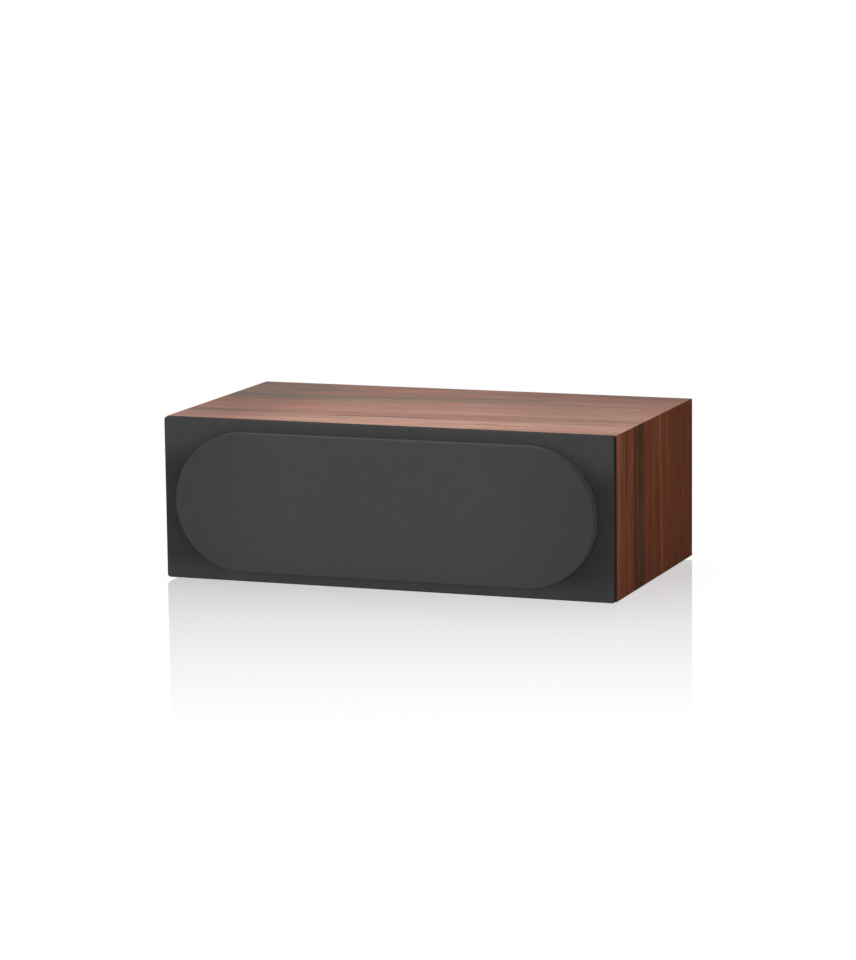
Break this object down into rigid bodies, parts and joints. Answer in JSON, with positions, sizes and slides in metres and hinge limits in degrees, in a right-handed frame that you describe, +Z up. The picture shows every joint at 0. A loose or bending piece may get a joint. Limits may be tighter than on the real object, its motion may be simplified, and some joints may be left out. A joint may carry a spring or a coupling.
{
  "type": "center channel speaker",
  "caption": "Low, wide wooden loudspeaker cabinet with a black front and a raised cloth grille with round ends, for the middle channel under a screen.",
  "frame": {"origin": "on the surface that the feet stand on, midway along the width and midway between the grille's face and the binding posts' tips", "axes": "+X to the speaker's right as seen from the front, +Y from the front to the rear, +Z up"},
  "size_m": [0.48, 0.307, 0.1685],
  "materials": {
    "rosewood": "satin",
    "baffle_black": "satin",
    "rear_vinyl": "matte",
    "fibreboard": "matte",
    "foam": "matte",
    "foot_rubber": "matte",
    "grille_plastic": "matte",
    "grille_cloth": "matte",
    "plated_magnet": "satin",
    "basket_metal": "satin",
    "cone": "matte",
    "dust_cap": "matte",
    "surround_rubber": "matte",
    "spider_cloth": "matte",
    "coil_winding": "satin",
    "plated_steel": "satin",
    "ferrite": "matte",
    "faceplate_plastic": "satin",
    "dome_metal": "satin",
    "tweeter_surround_cloth": "matte",
    "guard_steel": "satin",
    "gasket_foam": "matte",
    "black_screw": "satin",
    "port_plastic": "satin",
    "terminal_plastic": "satin",
    "gilt_brass": "polished",
    "red_cap": "gloss",
    "black_cap": "gloss",
    "circuit_board": "satin",
    "nylon": "satin",
    "copper_wire": "satin",
    "capacitor_sleeve": "gloss",
    "film_capacitor": "gloss",
    "resistor_ceramic": "matte",
    "lead_sheath": "satin"
  },
  "bodies": {
    "cabinet": {"top_panel": "rosewood", "bottom_panel": "rosewood", "left_panel": "rosewood", "right_panel": "rosewood", "front_baffle": "baffle_black", "rear_panel": "rear_vinyl", "window_brace": "fibreboard", "damping_pads": "foam", "rubber_feet": "foot_rubber", "baffle_magnets": "plated_magnet", "left_woofer_basket": "basket_metal", "right_woofer_basket": "basket_metal", "left_woofer_surround": "surround_rubber", "right_woofer_surround": "surround_rubber", "left_woofer_spider": "spider_cloth", "right_woofer_spider": "spider_cloth", "left_woofer_top_plate": "plated_steel", "right_woofer_top_plate": "plated_steel", "left_woofer_pole_yoke": "plated_steel", "right_woofer_pole_yoke": "plated_steel", "tweeter_top_plate": "plated_steel", "tweeter_pole_yoke": "plated_steel", "left_woofer_magnet": "ferrite", "right_woofer_magnet": "ferrite", "tweeter_magnet": "ferrite", "tweeter_faceplate": "faceplate_plastic", "tweeter_surround": "tweeter_surround_cloth", "tweeter_guard": "guard_steel", "driver_gaskets": "gasket_foam", "driver_screws": "black_screw", "terminal_screws": "black_screw", "left_port_tube": "port_plastic", "right_port_tube": "port_plastic", "terminal_plate": "terminal_plastic", "positive_post": "gilt_brass", "negative_post": "gilt_brass", "post_nuts": "gilt_brass", "crossover_board": "circuit_board", "board_supports": "nylon", "woofer_inductor": "copper_wire", "tweeter_inductor": "copper_wire", "woofer_capacitor": "capacitor_sleeve", "tweeter_capacitor": "film_capacitor", "power_resistor": "resistor_ceramic", "internal_leads": "lead_sheath"},
    "left_woofer_moving": {"left_woofer_cone": "cone", "left_woofer_dust_cap": "dust_cap", "left_woofer_voice_coil": "coil_winding"},
    "right_woofer_moving": {"right_woofer_cone": "cone", "right_woofer_dust_cap": "dust_cap", "right_woofer_voice_coil": "coil_winding"},
    "tweeter_moving": {"tweeter_dome": "dome_metal", "tweeter_voice_coil": "coil_winding"},
    "grille": {"grille_frame": "grille_plastic", "grille_cloth": "grille_cloth", "grille_magnets": "plated_magnet"},
    "positive_clamp": {"positive_clamp_washer": "gilt_brass"},
    "positive_cap": {"positive_cap": "red_cap"},
    "negative_clamp": {"negative_clamp_washer": "gilt_brass"},
    "negative_cap": {"negative_cap": "black_cap"}
  },
  "joints": [
    {"name": "left_woofer_travel", "type": "slide", "parent": "cabinet", "child": "left_woofer_moving", "axis": [0, -1, 0], "range_m": [-0.004, 0.004], "stiffness_N_per_m": 1000, "deforming": ["left_woofer_surround", "left_woofer_spider"]},
    {"name": "right_woofer_travel", "type": "slide", "parent": "cabinet", "child": "right_woofer_moving", "axis": [0, -1, 0], "range_m": [-0.004, 0.004], "stiffness_N_per_m": 1000, "deforming": ["right_woofer_surround", "right_woofer_spider"]},
    {"name": "tweeter_travel", "type": "slide", "parent": "cabinet", "child": "tweeter_moving", "axis": [0, -1, 0], "range_m": [-0.0005, 0.0005], "stiffness_N_per_m": 3000, "deforming": ["tweeter_surround"]},
    {"name": "grille_pull", "type": "slide", "parent": "cabinet", "child": "grille", "axis": [0, -1, 0], "range_m": [0, 0.06]},
    {"name": "positive_clamp_travel", "type": "slide", "parent": "cabinet", "child": "positive_clamp", "axis": [0, 1, 0], "range_m": [0, 0.004]},
    {"name": "positive_cap_turn", "type": "hinge", "parent": "positive_clamp", "child": "positive_cap", "pos_m": [0.015, 0.1415, 0.0855], "axis": [0, 1, 0], "range_deg": [0, 1800]},
    {"name": "negative_clamp_travel", "type": "slide", "parent": "cabinet", "child": "negative_clamp", "axis": [0, 1, 0], "range_m": [0, 0.004]},
    {"name": "negative_cap_turn", "type": "hinge", "parent": "negative_clamp", "child": "negative_cap", "pos_m": [-0.015, 0.1415, 0.0855], "axis": [0, 1, 0], "range_deg": [0, 1800]}
  ],
  "couplings": [
    {"joint": "positive_cap_turn", "follows": "positive_clamp_travel", "rad_per_m": 7853.9},
    {"joint": "negative_cap_turn", "follows": "negative_clamp_travel", "rad_per_m": 7853.9}
  ]
}
